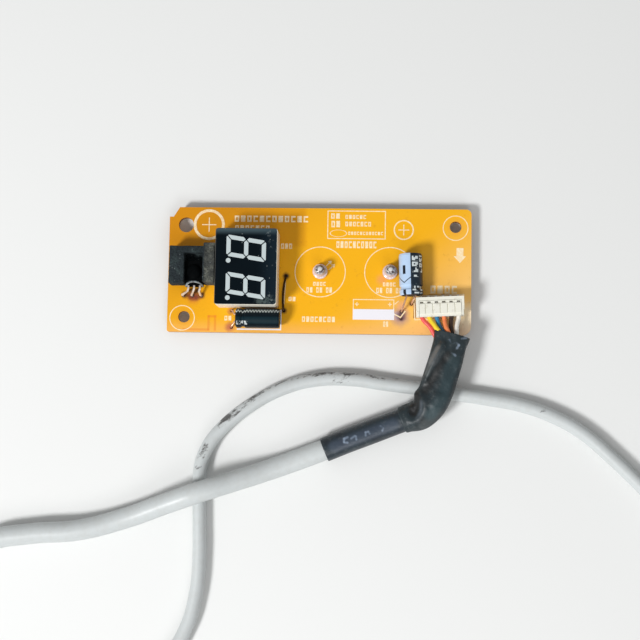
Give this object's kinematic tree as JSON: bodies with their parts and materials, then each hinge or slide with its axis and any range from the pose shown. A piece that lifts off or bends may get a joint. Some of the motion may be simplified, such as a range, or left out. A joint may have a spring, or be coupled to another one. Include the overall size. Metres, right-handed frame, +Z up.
{
  "type": "display circuit board",
  "caption": "Remote display board with a two-digit display, infrared receiver, lamps, capacitors and a plugged six-way cable that ends in a coil.",
  "frame": {"origin": "centre of the board outline, on the surface that the lead ends stand on", "axes": "+X along the board towards the plug, +Y towards the edge with the two upper fixing holes, +Z up from the component side"},
  "size_m": [0.2499, 0.1402, 0.0119],
  "materials": {
    "board": "satin",
    "copper": "satin",
    "tin": "satin",
    "print": "matte",
    "white_case": "satin",
    "black_face": "matte",
    "milky_resin": "satin",
    "gold_chip": "satin",
    "back_board": "matte",
    "black_resin": "gloss",
    "foam": "matte",
    "clear_lens": "gloss",
    "can": "satin",
    "navy_sleeve": "gloss",
    "black_sleeve": "gloss",
    "bung": "matte",
    "nylon": "satin",
    "wire_red": "satin",
    "wire_yellow": "satin",
    "wire_blue": "satin",
    "wire_orange": "satin",
    "wire_black": "satin",
    "wire_white": "satin",
    "shrink": "satin",
    "grey_jacket": "satin"
  },
  "bodies": {
    "root": {"circuit_board": "board", "copper_tracks": "copper", "solder_joints": "tin", "board_print": "print", "display_housing": "white_case", "display_face": "black_face", "digit_1_bars": "milky_resin", "digit_2_bars": "milky_resin", "display_chips": "gold_chip", "display_back_board": "back_board", "display_pins": "tin", "ir_receiver_body": "black_resin", "ir_receiver_lip": "tin", "ir_receiver_leads": "tin", "ir_foam_pad": "foam", "lamp_1_lens": "clear_lens", "lamp_1_leads": "tin", "lamp_2_lens": "clear_lens", "lamp_2_leads": "tin", "big_capacitor_can": "can", "big_capacitor_sleeve": "navy_sleeve", "big_capacitor_bung": "bung", "big_capacitor_leads": "tin", "small_capacitor_can": "can", "small_capacitor_sleeve": "black_sleeve", "small_capacitor_bung": "bung", "small_capacitor_leads": "tin", "jumper_wire": "tin", "header_shell": "nylon", "header_pins": "tin", "plug_shell": "nylon", "plug_contacts": "tin", "wire_red": "wire_red", "wire_yellow": "wire_yellow", "wire_blue": "wire_blue", "wire_orange": "wire_orange", "wire_black": "wire_black", "wire_white": "wire_white", "upper_sleeve": "shrink", "lower_sleeve": "shrink", "thick_cable": "grey_jacket", "joint_sleeve": "shrink", "thin_cable": "grey_jacket", "cable_coil": "grey_jacket", "coil_tie": "nylon", "cable_tail": "grey_jacket", "tail_sleeve": "shrink", "tail_plug": "nylon"}
  },
  "joints": []
}
